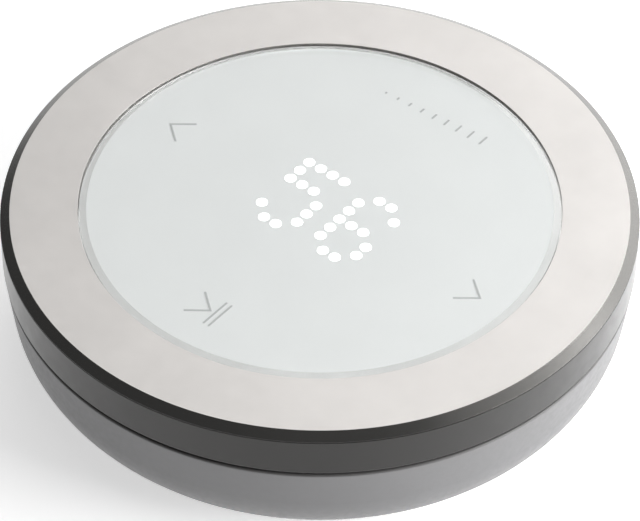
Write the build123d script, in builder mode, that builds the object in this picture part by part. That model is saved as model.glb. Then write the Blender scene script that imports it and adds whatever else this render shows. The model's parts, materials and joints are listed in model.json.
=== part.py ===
"""Round tabletop remote control: a metal ring turns on a ball bearing round a fixed glass touch face.

Frame: +Z up, the underside of the rubber foot at z = 0, the ring's turning axis on Z, +Y towards the
top of the display. All lengths are millimetres.
"""

import os
from math import cos, radians, tan

from build123d import *

# ---- Driving dimensions -------------------------------------------------------------------------

overall_radius = 40.0
overall_height = 22.0

# Turning ring, seen from above: flat face, polished bevel, upright grip band
window_radius = 30.3
face_radius = 38.8
plate_bottom = 20.0
bevel_height = 0.8
bevel_land = 0.1
parting_line = 0.15
band_bottom = 15.8
band_wall = 1.3
band_shoulder = 1.1
lip_inner = 38.0
lip_bottom = 20.3
edge_round = 0.08

# Room between two parts that touch or slide on each other
lip_clearance = 0.02
sliding_clearance = 0.06
seat_clearance = 0.05

# Base: tapered bowl with a large round to its flat underside
base_bottom = 0.5
base_top = 15.2
base_radius = 39.9
base_taper = 6.8
base_round = 10.0
base_wall = 2.0
base_lip_round = 0.3

# Fixed hub that carries the glass and the bearing
hub_radius = 30.0
hub_bore = 28.3
hub_bottom = 13.0
hub_flange_radius = 37.4
hub_flange_top = 14.6
board_ledge_radius = 27.0

# Display stack, from the top down
glass_radius = 30.15
glass_top = 21.95
glass_thickness = 1.8
glass_bevel_width = 0.95
glass_bevel_drop = 0.35
glass_top_round = 0.8
glass_side_round = 0.15
film_gap = 0.05
film_thickness = 0.1
tape_thickness = 0.15
touch_film_thickness = 0.2
touch_film_radius = 28.0
touch_tail = (6.0, 0.15)
diffuser_thickness = 0.2
board_bottom = 15.9
board_thickness = 1.0
board_radius = 28.1

# Dot matrix
dot_pitch = 1.89
dot_columns = 10
dot_rows = 7
grid_length = 23.0
grid_width = 17.0
grid_hole_radius = 0.8
led_size = (1.0, 0.5, 0.4)

# Thrust ball bearing
ball_radius = 0.75
ball_circle = 33.0
ball_count = 30
ball_height = 15.75
race_inner = 31.6
race_outer = 34.4
race_thickness = 0.6
groove_radius = 0.8
groove_clearance = 0.01

# Battery bay: two AAA cells side by side along X
cell_radius = 5.25
cell_body = 43.5
cell_nub = 1.0
cell_nub_radius = 1.9
cell_offset = 5.6
cell_height = 9.25
tray_half_length = 26.2
tray_half_width = 12.9
tray_bottom = 5.0
tray_top = 15.2
contact_face = 24.85
contact_thickness = 0.3
spring_wire = 0.25

# Twist-off battery door
door_bore = 25.0
door_radius = 24.8
door_bottom = 0.7
door_plate_top = 2.4
door_rim_inner = 23.3
door_rim_top = 3.85
lug_radius = 26.1
lug_span = 22.0
lug_count = 3
lug_bottom = 2.55
door_twist = 30.0
notch_radius = 26.35
notch_extra = 1.5
index_circle = 25.9

# Rubber foot and the screws that it hides
foot_inner = 26.8
foot_outer = 30.2
foot_top = 1.15
foot_round = 0.15
groove_roof = 1.2
column_circle = 28.5
column_radius = 2.1
column_count = 4

# Screws: shank radius, head radius, head height
case_screw = (0.8, 1.4, 0.7)
ring_screw = (0.7, 1.1, 0.6)
board_screw = (0.6, 1.15, 0.6)
screw_clearance = 0.04
small_socket = 0.45
large_socket = 0.6
small_socket_depth = 0.4
screw_sides = 6

# ---- Levels and radii worked out from them ------------------------------------------------------

bevel_bottom = overall_height - bevel_height
plate_edge_bottom = bevel_bottom - bevel_land
band_top = plate_edge_bottom - parting_line
carrier_bottom = ball_height + ball_radius + 0.4
carrier_flange_top = carrier_bottom + 1.0
carrier_plate_bottom = 18.9
carrier_wall_inner = 34.0
carrier_wall_outer = 35.2
carrier_radius = 38.6
retainer_bottom = carrier_flange_top + 0.2
retainer_top = retainer_bottom + 0.6
ring_screw_circle = 36.4
ring_screw_count = 6
ring_screw_depth = 1.2

glass_bottom = glass_top - glass_thickness
film_top = glass_bottom - film_gap
film_bottom = film_top - film_thickness
hub_top = film_bottom - tape_thickness
touch_film_bottom = film_bottom - touch_film_thickness
board_top = board_bottom + board_thickness
diffuser_top = touch_film_bottom - film_gap
grid_top = diffuser_top - diffuser_thickness

base_slope = tan(radians(base_taper))
base_floor = base_bottom + base_wall
inner_top_radius = base_radius - base_wall / cos(radians(base_taper))


def outer_radius_at(height):
    """Radius of the base's tapered side, before its bottom is rounded."""
    return base_radius - (base_top - height) * base_slope


def inner_radius_at(height):
    """Radius of the inside of that side."""
    return inner_top_radius - (base_top - height) * base_slope


def sector(height, inner_radius, outer_radius, start_angle, span):
    """A piece of a flat ring at that height, from start_angle over span degrees."""
    with BuildSketch(Plane.XY.offset(height)) as wedge:
        with BuildLine():
            outer = CenterArc((0, 0), outer_radius, start_angle, span)
            inner = CenterArc((0, 0), inner_radius, start_angle, span)
            Line(outer @ 0, inner @ 0)
            Line(outer @ 1, inner @ 1)
        make_face()
    return wedge.sketch


def corner(sketch, radius, height):
    """The corner of an upright profile at that radius and height."""
    return sketch.vertices().sort_by_distance((radius, height, 0))[0]


def finish(part, name):
    """Labels a finished piece and writes it to its STEP file."""
    part.label = name
    export_step(part, f"parts/{name}.step")


os.makedirs("parts", exist_ok=True)

# ---- Turning ring -------------------------------------------------------------------------------

# Aluminium face plate: flat brushed face, polished bevel, blind holes for its screws underneath
with BuildPart() as top_ring:
    with BuildSketch(Plane.XZ) as profile:
        with BuildLine():
            Polyline(
                (window_radius, plate_bottom),
                (lip_inner - lip_clearance, plate_bottom),
                (lip_inner - lip_clearance, plate_edge_bottom),
                (overall_radius, plate_edge_bottom),
                (overall_radius, bevel_bottom),
                (face_radius, overall_height),
                (window_radius, overall_height),
                close=True,
            )
        make_face()
        fillet(corner(profile, window_radius, overall_height), edge_round)
        fillet(corner(profile, face_radius, overall_height), edge_round)
    revolve(axis=Axis.Z)
    with BuildSketch(Plane.XY.offset(plate_bottom)):
        with PolarLocations(ring_screw_circle, ring_screw_count):
            Circle(ring_screw[0] + screw_clearance)
    extrude(amount=ring_screw_depth, mode=Mode.SUBTRACT)
finish(top_ring.part, "top_ring")

# Upright grip band, clamped by its inner lip between the face plate and the carrier
with BuildPart() as grip_band:
    band_inner = overall_radius - band_wall
    with BuildSketch(Plane.XZ) as profile:
        with BuildLine():
            Polyline(
                (band_inner, band_bottom),
                (overall_radius, band_bottom),
                (overall_radius, band_top),
                (overall_radius - band_shoulder, band_top),
                (overall_radius - band_shoulder, plate_edge_bottom),
                (lip_inner + lip_clearance, plate_edge_bottom),
                (lip_inner + lip_clearance, lip_bottom),
                (band_inner, lip_bottom),
                close=True,
            )
        make_face()
        fillet(corner(profile, overall_radius, band_bottom), 2 * edge_round)
        fillet(corner(profile, overall_radius, band_top), edge_round)
    revolve(axis=Axis.Z)
finish(grip_band.part, "grip_band")

gusset_count = 12
gusset_first = 15.0
gusset_height = 0.9
gusset_width = 0.8
gusset_overlap = 0.2
gusset_inner = carrier_wall_outer - 0.5
gusset_outer = carrier_radius - 0.3

# Moulded carrier: its inward flange runs on the hub and rests on the bearing
with BuildPart() as ring_carrier:
    with BuildSketch(Plane.XZ):
        with BuildLine():
            Polyline(
                (hub_radius + sliding_clearance, carrier_bottom),
                (carrier_wall_outer, carrier_bottom),
                (carrier_wall_outer, carrier_plate_bottom),
                (carrier_radius, carrier_plate_bottom),
                (carrier_radius, lip_bottom),
                (lip_inner + 2 * lip_clearance, lip_bottom),
                (lip_inner + 2 * lip_clearance, plate_bottom),
                (carrier_wall_inner, plate_bottom),
                (carrier_wall_inner, carrier_flange_top),
                (hub_radius + sliding_clearance, carrier_flange_top),
                close=True,
            )
        make_face()
    revolve(axis=Axis.Z)
    # Gussets between the screws, rooted inside the wall
    with BuildSketch(Plane.XY.offset(carrier_plate_bottom - gusset_height)):
        with PolarLocations((gusset_inner + gusset_outer) / 2, gusset_count, start_angle=gusset_first):
            Rectangle(gusset_outer - gusset_inner, gusset_width)
    extrude(amount=gusset_height + gusset_overlap)
    with BuildSketch(Plane.XY.offset(carrier_plate_bottom)):
        with PolarLocations(ring_screw_circle, ring_screw_count):
            Circle(ring_screw[0] + screw_clearance)
    extrude(amount=plate_bottom - carrier_plate_bottom, mode=Mode.SUBTRACT)
finish(ring_carrier.part, "ring_carrier")

# Screws that draw the carrier up against the face plate
with BuildPart() as ring_screws:
    with BuildSketch(Plane.XY.offset(carrier_plate_bottom - ring_screw[2])):
        with PolarLocations(ring_screw_circle, ring_screw_count):
            Circle(ring_screw[1])
    extrude(amount=ring_screw[2])
    with BuildSketch(Plane.XY.offset(carrier_plate_bottom)):
        with PolarLocations(ring_screw_circle, ring_screw_count):
            Circle(ring_screw[0])
    extrude(amount=plate_bottom - carrier_plate_bottom + ring_screw_depth - 0.1)
    with BuildSketch(Plane.XY.offset(carrier_plate_bottom - ring_screw[2])):
        with PolarLocations(ring_screw_circle, ring_screw_count):
            RegularPolygon(small_socket, screw_sides)
    extrude(amount=small_socket_depth, mode=Mode.SUBTRACT)
finish(ring_screws.part, "ring_screws")

magnet_radius = 36.8
magnet_bottom = carrier_bottom - 0.2
magnet_height = 1.1

# Many-pole magnet ring bonded round the carrier, read by the sensors below it
with BuildPart() as magnet_ring:
    with BuildSketch(Plane.XY.offset(magnet_bottom)):
        Circle(magnet_radius)
        Circle(carrier_wall_outer + seat_clearance, mode=Mode.SUBTRACT)
    extrude(amount=magnet_height)
finish(magnet_ring.part, "magnet_ring")

# ---- Thrust bearing -----------------------------------------------------------------------------

groove_shift = groove_radius - ball_radius - groove_clearance

# Upper race, pressed up under the carrier
with BuildPart() as upper_race:
    with BuildSketch(Plane.XY.offset(carrier_bottom - race_thickness)):
        Circle(race_outer)
        Circle(race_inner, mode=Mode.SUBTRACT)
    extrude(amount=race_thickness)
    with BuildSketch(Plane.XZ):
        with Locations((ball_circle, ball_height - groove_shift)):
            Circle(groove_radius)
    revolve(axis=Axis.Z, mode=Mode.SUBTRACT)
finish(upper_race.part, "upper_race")

# Lower race, lying on the hub's flange
with BuildPart() as lower_race:
    with BuildSketch(Plane.XY.offset(hub_flange_top)):
        Circle(race_outer)
        Circle(race_inner, mode=Mode.SUBTRACT)
    extrude(amount=race_thickness)
    with BuildSketch(Plane.XZ):
        with Locations((ball_circle, ball_height + groove_shift)):
            Circle(groove_radius)
    revolve(axis=Axis.Z, mode=Mode.SUBTRACT)
finish(lower_race.part, "lower_race")

# Cage that keeps the balls apart
cage_thickness = 0.6
cage_margin = 0.2
ball_clearance = 0.03
with BuildPart() as ball_cage:
    with BuildSketch(Plane.XY.offset(ball_height - cage_thickness / 2)):
        Circle(race_outer - cage_margin)
        Circle(race_inner + cage_margin, mode=Mode.SUBTRACT)
        with PolarLocations(ball_circle, ball_count):
            Circle(ball_radius + ball_clearance, mode=Mode.SUBTRACT)
    extrude(amount=cage_thickness)
finish(ball_cage.part, "ball_cage")

with BuildPart() as bearing_balls:
    with Locations(Plane.XY.offset(ball_height)):
        with PolarLocations(ball_circle, ball_count):
            Sphere(ball_radius)
finish(bearing_balls.part, "bearing_balls")

# ---- Fixed hub and what holds the ring on it ----------------------------------------------------

retainer_seat = 29.2
tray_ear_centre = (28.2, 9.0)
flex_half_width = 2.5
flex_thickness = 0.2
flex_slot_y = 34.85
case_screw_reach = 2.2
tray_screw_reach = 1.2
hole_spare = 0.2

with BuildPart() as hub_frame:
    with BuildSketch(Plane.XZ):
        with BuildLine():
            Polyline(
                (board_ledge_radius, hub_bottom),
                (hub_flange_radius, hub_bottom),
                (hub_flange_radius, hub_flange_top),
                (hub_radius, hub_flange_top),
                (hub_radius, retainer_bottom - seat_clearance),
                (retainer_seat, retainer_bottom - seat_clearance),
                (retainer_seat, retainer_top + seat_clearance),
                (hub_radius, retainer_top + seat_clearance),
                (hub_radius, hub_top),
                (hub_bore, hub_top),
                (hub_bore, board_bottom),
                (board_ledge_radius, board_bottom),
                close=True,
            )
        make_face()
    revolve(axis=Axis.Z)
    # Blind holes for the case screws
    with BuildSketch(Plane.XY.offset(hub_bottom)):
        with PolarLocations(column_circle, column_count, start_angle=45):
            Circle(case_screw[0] + screw_clearance)
    extrude(amount=case_screw_reach + hole_spare, mode=Mode.SUBTRACT)
    # Blind holes for the tray screws
    with BuildSketch(Plane.XY.offset(hub_bottom)):
        with GridLocations(2 * tray_ear_centre[0], 2 * tray_ear_centre[1], 2, 2):
            Circle(case_screw[0] + screw_clearance)
    extrude(amount=tray_screw_reach + hole_spare, mode=Mode.SUBTRACT)
    # Slot for the sensor's flat cable
    with BuildSketch(Plane.XY.offset(hub_bottom)):
        with Locations((0, flex_slot_y)):
            Rectangle(2 * flex_half_width + 0.6, flex_thickness + 0.35)
    extrude(amount=hub_flange_top - hub_bottom, mode=Mode.SUBTRACT)
finish(hub_frame.part, "hub_frame")

# Split spring-steel ring in the hub's groove, over the carrier's flange
retainer_gap = 12.0
retainer_radius = 32.5
eye_circle = 31.2
eye_radius = 0.5
eye_angle = 3.0
with BuildPart() as retaining_ring:
    extrude(
        sector(retainer_bottom, retainer_seat + seat_clearance, retainer_radius,
               90 + retainer_gap / 2, 360 - retainer_gap),
        amount=retainer_top - retainer_bottom,
    )
    with BuildSketch(Plane.XY.offset(retainer_bottom)):
        for side in (-1, 1):
            with PolarLocations(eye_circle, 1, start_angle=90 + side * (retainer_gap / 2 + eye_angle)):
                Circle(eye_radius)
    extrude(amount=retainer_top - retainer_bottom, mode=Mode.SUBTRACT)
finish(retaining_ring.part, "retaining_ring")

seal_set_back = 0.6
seal_thickness = 0.4

# Black felt ring that closes the gap under the grip band
with BuildPart() as dust_seal:
    with BuildSketch(Plane.XY.offset(base_top)):
        Circle(overall_radius - seal_set_back)
        Circle(inner_top_radius + seat_clearance, mode=Mode.SUBTRACT)
    extrude(amount=seal_thickness)
finish(dust_seal.part, "dust_seal")

# ---- Rotation sensor ----------------------------------------------------------------------------

sensor_y = 36.15
sensor_board_length = 8.0
sensor_board_width = 1.6
sensor_board_thickness = 0.6
hall_size = (1.6, 1.2, 0.8)
hall_spacing = 4.4

with BuildPart() as sensor_board:
    with BuildSketch(Plane.XY.offset(hub_flange_top)):
        with Locations((0, sensor_y)):
            Rectangle(sensor_board_length, sensor_board_width)
    extrude(amount=sensor_board_thickness)
finish(sensor_board.part, "sensor_board")

with BuildPart() as hall_sensors:
    with BuildSketch(Plane.XY.offset(hub_flange_top + sensor_board_thickness)):
        with Locations((0, sensor_y)):
            with GridLocations(hall_spacing, 1, 2, 1):
                Rectangle(hall_size[0], hall_size[1])
    extrude(amount=hall_size[2])
finish(hall_sensors.part, "hall_sensors")

# Flat cable: down through the flange, inwards under it and up to the main board
flex_low = hub_bottom - 0.25
flex_outer_y = flex_slot_y + flex_thickness / 2
flex_inner_y = 26.3
flex_high = hub_flange_top + 0.3
board_edge_y = sensor_y - sensor_board_width / 2
with BuildPart() as sensor_flex:
    with BuildSketch(Plane.YZ.offset(-flex_half_width)):
        with BuildLine():
            Polyline(
                (board_edge_y, flex_high),
                (flex_outer_y - flex_thickness, flex_high),
                (flex_outer_y - flex_thickness, flex_low + flex_thickness),
                (flex_inner_y + flex_thickness, flex_low + flex_thickness),
                (flex_inner_y + flex_thickness, board_bottom),
                (flex_inner_y, board_bottom),
                (flex_inner_y, flex_low),
                (flex_outer_y, flex_low),
                (flex_outer_y, flex_high - flex_thickness),
                (board_edge_y, flex_high - flex_thickness),
                close=True,
            )
        make_face()
    extrude(amount=2 * flex_half_width)
finish(sensor_flex.part, "sensor_flex")

# ---- Display stack ------------------------------------------------------------------------------

# Cover glass with a polished bevel round its edge
with BuildPart() as glass_face:
    with BuildSketch(Plane.XZ) as profile:
        with BuildLine():
            Polyline(
                (0, glass_bottom),
                (glass_radius, glass_bottom),
                (glass_radius, glass_top - glass_bevel_drop),
                (glass_radius - glass_bevel_width, glass_top),
                (0, glass_top),
                close=True,
            )
        make_face()
        fillet(corner(profile, glass_radius - glass_bevel_width, glass_top), glass_top_round)
        fillet(corner(profile, glass_radius, glass_top - glass_bevel_drop), glass_side_round)
    revolve(axis=Axis.Z)
finish(glass_face.part, "glass_face")

# White film behind the glass that carries the printed marks
with BuildPart() as printed_film:
    with BuildSketch(Plane.XY.offset(film_bottom)):
        Circle(glass_radius - seat_clearance)
    extrude(amount=film_thickness)
finish(printed_film.part, "printed_film")

with BuildPart() as glass_tape:
    with BuildSketch(Plane.XY.offset(hub_top)):
        Circle(hub_radius)
        Circle(hub_bore, mode=Mode.SUBTRACT)
    extrude(amount=tape_thickness)
finish(glass_tape.part, "glass_tape")

# Touch electrodes on a clear film, with a tail down to the main board
with BuildPart() as touch_film:
    with BuildSketch(Plane.XY.offset(touch_film_bottom)):
        Circle(touch_film_radius)
    extrude(amount=touch_film_thickness)
    with BuildSketch(Plane.XY.offset(board_top)):
        with Locations((0, touch_tail[1] - touch_film_radius)):
            Rectangle(touch_tail[0], touch_tail[1])
    extrude(amount=touch_film_bottom - board_top)
finish(touch_film.part, "touch_film")

with BuildPart() as diffuser_sheet:
    with BuildSketch(Plane.XY.offset(grid_top)):
        Rectangle(grid_length, grid_width)
    extrude(amount=diffuser_thickness)
finish(diffuser_sheet.part, "diffuser_sheet")

# One light well for each dot
with BuildPart() as light_grid:
    with BuildSketch(Plane.XY.offset(board_top)):
        Rectangle(grid_length, grid_width)
        with GridLocations(dot_pitch, dot_pitch, dot_columns, dot_rows):
            Circle(grid_hole_radius, mode=Mode.SUBTRACT)
    extrude(amount=grid_top - board_top)
finish(light_grid.part, "light_grid")

with BuildPart() as led_array:
    with BuildSketch(Plane.XY.offset(board_top)):
        with GridLocations(dot_pitch, dot_pitch, dot_columns, dot_rows):
            Rectangle(led_size[0], led_size[1])
    extrude(amount=led_size[2])
finish(led_array.part, "led_array")

# ---- Main board ---------------------------------------------------------------------------------

board_screw_spacing = (38.0, 23.8)
board_screw_reach = 2.6

# Parts soldered to the board: place of the middle, then length, width and height
chip_place = (-18.5, 0)
chip_size = (7.0, 7.0, 0.9)
shield_place = (0, 16.5)
shield_size = (13.0, 9.0, 1.8)
antenna_place = (13.5, 20.0)
antenna_size = (5.2, 2.0, 1.1)
capacitor_size = (1.6, 0.8)
resistor_size = (1.0, 0.5)
component_height = 0.6

with BuildPart() as main_board:
    with BuildSketch(Plane.XY.offset(board_bottom)):
        Circle(board_radius)
        with GridLocations(board_screw_spacing[0], board_screw_spacing[1], 2, 2):
            Circle(board_screw[0] + screw_clearance, mode=Mode.SUBTRACT)
    extrude(amount=board_thickness)
finish(main_board.part, "main_board")

with BuildPart() as board_screws:
    with BuildSketch(Plane.XY.offset(board_bottom - board_screw_reach)):
        with GridLocations(board_screw_spacing[0], board_screw_spacing[1], 2, 2):
            Circle(board_screw[0])
    extrude(amount=board_thickness + board_screw_reach)
    with BuildSketch(Plane.XY.offset(board_top)):
        with GridLocations(board_screw_spacing[0], board_screw_spacing[1], 2, 2):
            Circle(board_screw[1])
            RegularPolygon(small_socket, screw_sides, mode=Mode.SUBTRACT)
    extrude(amount=board_screw[2])
finish(board_screws.part, "board_screws")

with BuildPart() as control_chip:
    with BuildSketch(Plane.XY.offset(board_top)):
        with Locations(chip_place):
            RectangleRounded(chip_size[0], chip_size[1], 0.3)
    extrude(amount=chip_size[2])
finish(control_chip.part, "control_chip")

# Soldered can over the radio circuit
with BuildPart() as radio_shield:
    with BuildSketch(Plane.XY.offset(board_top)):
        with Locations(shield_place):
            RectangleRounded(shield_size[0], shield_size[1], 0.6)
    extrude(amount=shield_size[2])
    fillet(radio_shield.faces().sort_by(Axis.Z)[-1].edges(), 0.25)
finish(radio_shield.part, "radio_shield")

with BuildPart() as chip_antenna:
    with BuildSketch(Plane.XY.offset(board_top)):
        with Locations(antenna_place):
            Rectangle(antenna_size[0], antenna_size[1])
    extrude(amount=antenna_size[2])
finish(chip_antenna.part, "chip_antenna")

# Small resistors and capacitors, in rows on the board
with BuildPart() as board_components:
    with BuildSketch(Plane.XY.offset(board_top)):
        with Locations((19.0, 0)):
            with GridLocations(2.6, 2.2, 3, 4):
                Rectangle(capacitor_size[0], capacitor_size[1])
        with Locations((0, -15.5)):
            with GridLocations(3.0, 2.4, 5, 2):
                Rectangle(resistor_size[0], resistor_size[1])
        with Locations((-11.5, 15.5)):
            with GridLocations(2.4, 2.2, 2, 3):
                Rectangle(capacitor_size[0], capacitor_size[1])
    extrude(amount=component_height)
finish(board_components.part, "board_components")

# ---- Battery bay --------------------------------------------------------------------------------

trough_radius = cell_radius + 0.15
trough_half_length = 22.6
pocket_half_length = contact_face + contact_thickness + 0.05
pocket_half_width = 10.8
pocket_top = 12.6
tray_clip_radius = board_ledge_radius - 0.2
ear_thickness = 1.2
ear_radius = 2.2
boss_radius = 1.6
boss_hole_depth = 3.0
tab_half_width = 1.0

with BuildPart() as battery_tray:
    with BuildSketch(Plane.XY.offset(tray_bottom)):
        Rectangle(2 * tray_half_length, 2 * tray_half_width)
    extrude(amount=tray_top - tray_bottom)
    # Above the hub's underside the tray stays inside the hub's ledge
    with BuildSketch(Plane.XY.offset(hub_bottom - 0.1)):
        Rectangle(2 * tray_half_length, 2 * tray_half_width)
        Circle(tray_clip_radius, mode=Mode.SUBTRACT)
    extrude(amount=tray_top - hub_bottom + 0.1, mode=Mode.SUBTRACT)
    # Troughs for the cells, open downwards, and the contact pockets at both ends
    with BuildSketch(Plane.YZ.offset(-trough_half_length)):
        with Locations((-cell_offset, cell_height), (cell_offset, cell_height)):
            Circle(trough_radius)
    extrude(amount=2 * trough_half_length, mode=Mode.SUBTRACT)
    with BuildSketch(Plane.XY.offset(tray_bottom)):
        Rectangle(2 * trough_half_length, 2 * (cell_offset + trough_radius))
    extrude(amount=cell_height - tray_bottom, mode=Mode.SUBTRACT)
    pocket_length = pocket_half_length - trough_half_length
    with BuildSketch(Plane.XY.offset(tray_bottom)):
        with GridLocations(pocket_half_length + trough_half_length, 1, 2, 1):
            Rectangle(pocket_length, 2 * pocket_half_width)
    extrude(amount=pocket_top - tray_bottom, mode=Mode.SUBTRACT)
    # Slots for the contact tabs
    with BuildSketch(Plane.XY.offset(pocket_top)):
        with GridLocations(2 * contact_face + contact_thickness, 2 * cell_offset, 2, 2):
            Rectangle(contact_thickness + 0.1, 2 * tab_half_width + 0.2)
    extrude(amount=tray_top - pocket_top, mode=Mode.SUBTRACT)
    # Ears for its own screws
    with BuildSketch(Plane.XY.offset(hub_bottom - ear_thickness)):
        with GridLocations(2 * tray_ear_centre[0], 2 * tray_ear_centre[1], 2, 2):
            Circle(ear_radius)
        with GridLocations(2 * tray_ear_centre[0] - ear_radius, 2 * tray_ear_centre[1], 2, 2):
            Rectangle(ear_radius, 2 * ear_radius)
        with GridLocations(2 * tray_ear_centre[0], 2 * tray_ear_centre[1], 2, 2):
            Circle(case_screw[0] + screw_clearance, mode=Mode.SUBTRACT)
    extrude(amount=ear_thickness)
    # Bosses under the main board
    with BuildSketch(Plane.XY.offset(tray_top)):
        with GridLocations(board_screw_spacing[0], board_screw_spacing[1], 2, 2):
            Circle(boss_radius)
    extrude(amount=board_bottom - tray_top)
    with BuildSketch(Plane.XY.offset(board_bottom - boss_hole_depth)):
        with GridLocations(board_screw_spacing[0], board_screw_spacing[1], 2, 2):
            Circle(board_screw[0] + screw_clearance)
    extrude(amount=boss_hole_depth, mode=Mode.SUBTRACT)
finish(battery_tray.part, "battery_tray")

with BuildPart() as tray_screws:
    with BuildSketch(Plane.XY.offset(hub_bottom - ear_thickness - case_screw[2])):
        with GridLocations(2 * tray_ear_centre[0], 2 * tray_ear_centre[1], 2, 2):
            Circle(case_screw[1])
            RegularPolygon(large_socket, screw_sides, mode=Mode.SUBTRACT)
    extrude(amount=case_screw[2])
    with BuildSketch(Plane.XY.offset(hub_bottom - ear_thickness)):
        with GridLocations(2 * tray_ear_centre[0], 2 * tray_ear_centre[1], 2, 2):
            Circle(case_screw[0])
    extrude(amount=ear_thickness + tray_screw_reach)
finish(tray_screws.part, "tray_screws")


def battery_cell(side):
    """One AAA cell: side +1 lies at +Y with its nub towards +X, side -1 is turned end for end."""
    flat_end = -side * (cell_body + cell_nub) / 2
    shoulder = flat_end + side * cell_body
    with BuildPart() as cell:
        with BuildSketch(Plane.YZ.offset(min(flat_end, shoulder))):
            with Locations((side * cell_offset, cell_height)):
                Circle(cell_radius)
        extrude(amount=cell_body)
        fillet(cell.edges().filter_by(GeomType.CIRCLE), 0.4)
        with BuildSketch(Plane.YZ.offset(shoulder if side > 0 else shoulder - cell_nub)):
            with Locations((side * cell_offset, cell_height)):
                Circle(cell_nub_radius)
        extrude(amount=cell_nub)
    return cell.part


finish(battery_cell(1), "battery_left")
finish(battery_cell(-1), "battery_right")

nub_end = (cell_body + cell_nub) / 2
dimple_height = contact_face - nub_end - 0.1
dimple_radius = 3.0
plate_width = 6.8
plate_low = 5.6
plate_high = 12.4


def contact_solid(end, plate_y, width, dimple_y, tab_sides):
    """A stamped contact: plate at the bay's end (+1 or -1 along X), dimples and tabs to the board."""
    back = min(end * contact_face, end * (contact_face + contact_thickness))
    with BuildPart() as contact:
        with BuildSketch(Plane.YZ.offset(back)):
            with Locations((plate_y, (plate_low + plate_high) / 2)):
                Rectangle(width, plate_high - plate_low)
            for side in tab_sides:
                with Locations((side * cell_offset, (plate_high + board_bottom) / 2)):
                    Rectangle(2 * tab_half_width, board_bottom - plate_high)
        extrude(amount=contact_thickness)
        if dimple_y is not None:
            root = Plane((end * contact_face, dimple_y, cell_height), z_dir=(-end, 0, 0))
            with BuildSketch(root):
                Circle(dimple_radius)
            with BuildSketch(root.offset(dimple_height)):
                Circle(dimple_radius / 2)
            loft()
    return contact.part


# Two separate contacts at +X: a dimple for the left cell's nub, a plain plate behind the spring
with BuildPart() as terminal_contacts:
    add(contact_solid(1, cell_offset, plate_width, cell_offset, (1,)))
    add(contact_solid(1, -cell_offset, plate_width, None, (-1,)))
finish(terminal_contacts.part, "terminal_contacts")

# One bridge at -X that joins the two cells in series
finish(contact_solid(-1, 0, 2 * cell_offset + plate_width, -cell_offset, (1, -1)), "bridge_contact")


spring_room = 0.03
spring_turns = 3
spring_foot_radius = 3.0
spring_cone = 26.0


def contact_spring(end, y):
    """A conical coil spring standing on the contact at that end, its small turn against the cell."""
    coil_height = contact_face - nub_end - 2 * (spring_wire + spring_room)
    foot = (end * (contact_face - spring_wire - spring_room), y, cell_height)
    with BuildPart() as spring:
        with BuildLine() as wire:
            Helix(
                coil_height / spring_turns,
                coil_height,
                spring_foot_radius,
                center=foot,
                direction=(-end, 0, 0),
                cone_angle=-spring_cone,
            )
        with BuildSketch(Plane(origin=wire.line @ 0, z_dir=wire.line % 0)):
            Circle(spring_wire)
        sweep()
    return spring.part


with BuildPart() as contact_springs:
    add(contact_spring(1, -cell_offset))
    add(contact_spring(-1, cell_offset))
finish(contact_springs.part, "contact_springs")

# ---- Base shell ---------------------------------------------------------------------------------

screw_pocket_depth = 0.8
stop_span = 4.0
stop_gap = 0.5
index_dot_radius = 0.35
index_pair_radius = 0.25
index_pair_angle = 3.0
index_depth = 0.2

with BuildPart() as base_shell:
    with BuildSketch(Plane.XZ) as profile:
        with BuildLine():
            Polyline(
                (door_bore, base_bottom),
                (outer_radius_at(base_bottom), base_bottom),
                (base_radius, base_top),
                (inner_top_radius, base_top),
                (inner_radius_at(base_floor), base_floor),
                (door_bore, base_floor),
                close=True,
            )
        make_face()
        fillet(corner(profile, outer_radius_at(base_bottom), base_bottom), base_round)
        fillet(corner(profile, inner_radius_at(base_floor), base_floor), base_round - base_wall)
        fillet(corner(profile, base_radius, base_top), base_lip_round)
    revolve(axis=Axis.Z)
    # Columns up to the hub, over the case screws
    with BuildSketch(Plane.XY.offset(groove_roof + screw_pocket_depth)):
        with PolarLocations(column_circle, column_count, start_angle=45):
            Circle(column_radius)
    extrude(amount=hub_bottom - groove_roof - screw_pocket_depth)
    # Seat for the rubber foot, the screw heads above it and their holes
    with BuildSketch(Plane.XY):
        Circle(foot_outer + seat_clearance)
        Circle(foot_inner - seat_clearance, mode=Mode.SUBTRACT)
    extrude(amount=groove_roof, mode=Mode.SUBTRACT)
    with BuildSketch(Plane.XY.offset(groove_roof)):
        with PolarLocations(column_circle, column_count, start_angle=45):
            Circle(case_screw[1] + screw_clearance)
    extrude(amount=screw_pocket_depth, mode=Mode.SUBTRACT)
    with BuildSketch(Plane.XY.offset(groove_roof)):
        with PolarLocations(column_circle, column_count, start_angle=45):
            Circle(case_screw[0] + screw_clearance)
    extrude(amount=hub_bottom - groove_roof, mode=Mode.SUBTRACT)
    # Bayonet: a notch for each lug to enter by, and a stop where it locks
    for lug in range(lug_count):
        centre = lug * 360 / lug_count
        notch_span = lug_span + 2 * notch_extra
        notch_start = centre - door_twist - notch_span / 2
        notch = sector(base_bottom, door_bore - 0.5, notch_radius, notch_start, notch_span)
        extrude(notch, amount=base_floor - base_bottom, mode=Mode.SUBTRACT)
        stop_start = centre + lug_span / 2 + stop_gap
        stop = sector(base_floor, door_bore + 0.3, notch_radius + 0.2, stop_start, stop_span)
        extrude(stop, amount=door_rim_top - base_floor)
    # Index dots beside the door: one for locked, a pair for open
    with BuildSketch(Plane.XY.offset(base_bottom)):
        with PolarLocations(index_circle, 1, start_angle=-90):
            Circle(index_dot_radius)
        for side in (-1, 1):
            pair_angle = -90 - door_twist + side * index_pair_angle / 2
            with PolarLocations(index_circle, 1, start_angle=pair_angle):
                Circle(index_pair_radius)
    extrude(amount=index_depth, mode=Mode.SUBTRACT)
finish(base_shell.part, "base_shell")

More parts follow.
